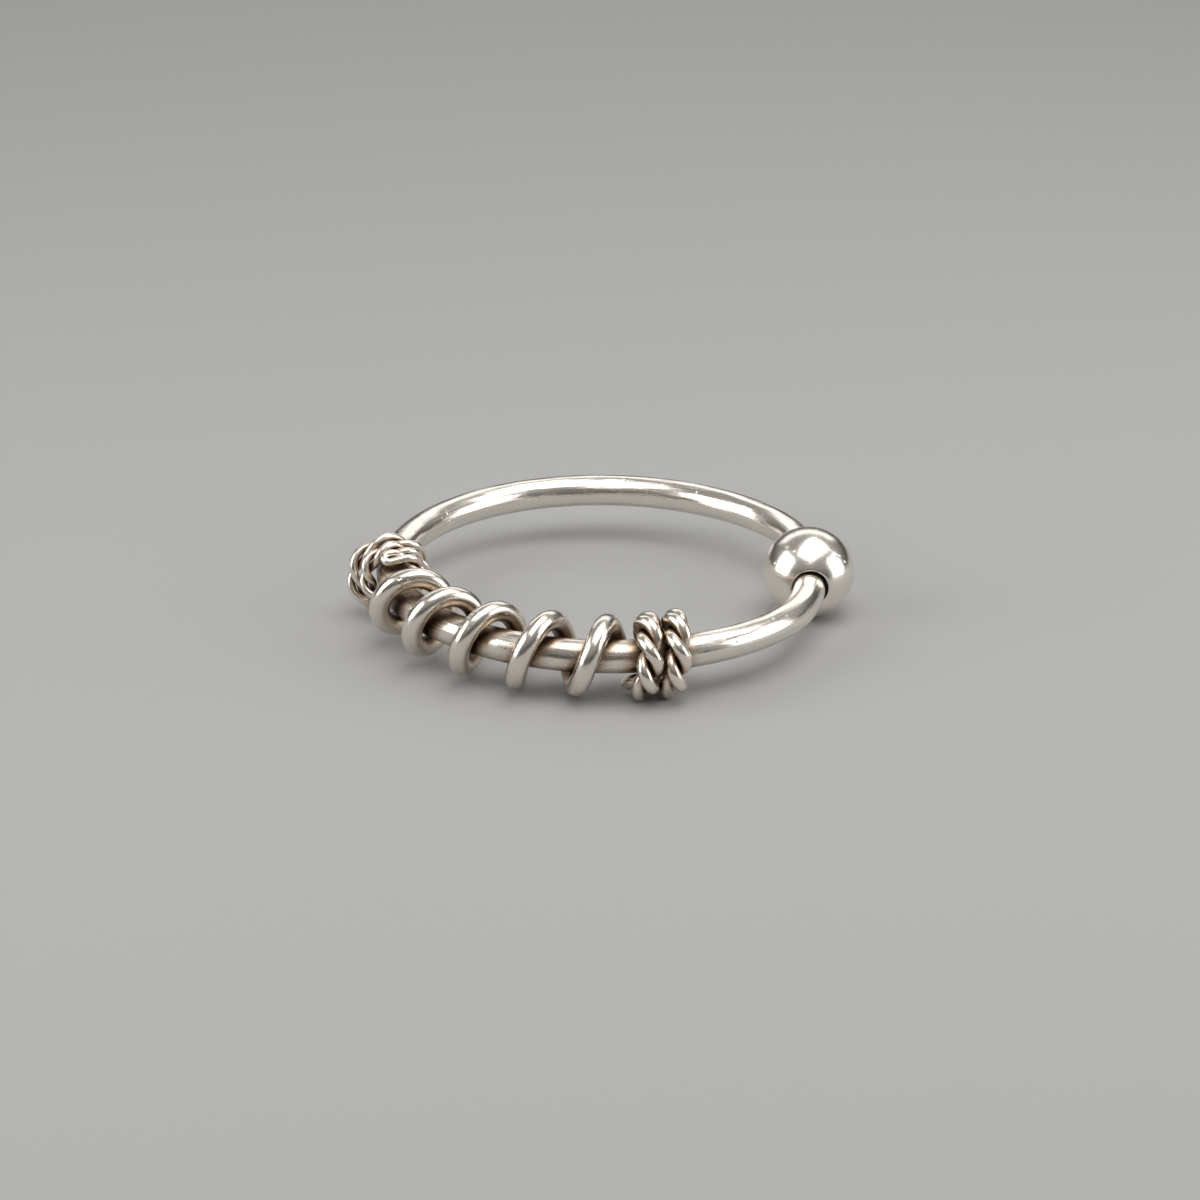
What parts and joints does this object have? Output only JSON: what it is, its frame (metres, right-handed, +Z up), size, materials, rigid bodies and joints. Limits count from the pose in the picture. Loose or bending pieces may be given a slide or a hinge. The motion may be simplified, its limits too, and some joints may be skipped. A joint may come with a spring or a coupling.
{
  "type": "nose ring",
  "caption": "Captive-bead nose ring of polished silver wire, with a loose wire coil round its front and a binding of twisted wire at each end of the coil.",
  "frame": {"origin": "on the surface the ring lies on, under the middle of the hoop", "axes": "+X from the middle of the hoop to its bead, +Y level, along the bead's bore, away from the coil, +Z up from the surface the ring lies on. The hoop itself leans by about 1.2 degrees from level."},
  "size_m": [0.0126, 0.012, 0.0023],
  "materials": {
    "polished_silver": "sterling silver, polished and lightly worn, with a thin brown tarnish where the wires meet",
    "darkened_silver": "sterling silver, softly polished, with dark tarnish between the strands"
  },
  "bodies": {
    "ring": {"hoop": "polished_silver", "coil": "polished_silver", "left_binding": "darkened_silver", "right_binding_strand_a": "darkened_silver", "right_binding_strand_b": "darkened_silver"},
    "bead": {"bead": "polished_silver"}
  },
  "joints": [
    {"name": "bead_spin", "type": "hinge", "parent": "ring", "child": "bead", "pos_m": [0.00503, 0, 0.00113], "axis": [0, 0.9998, 0.0202], "continuous": true}
  ]
}
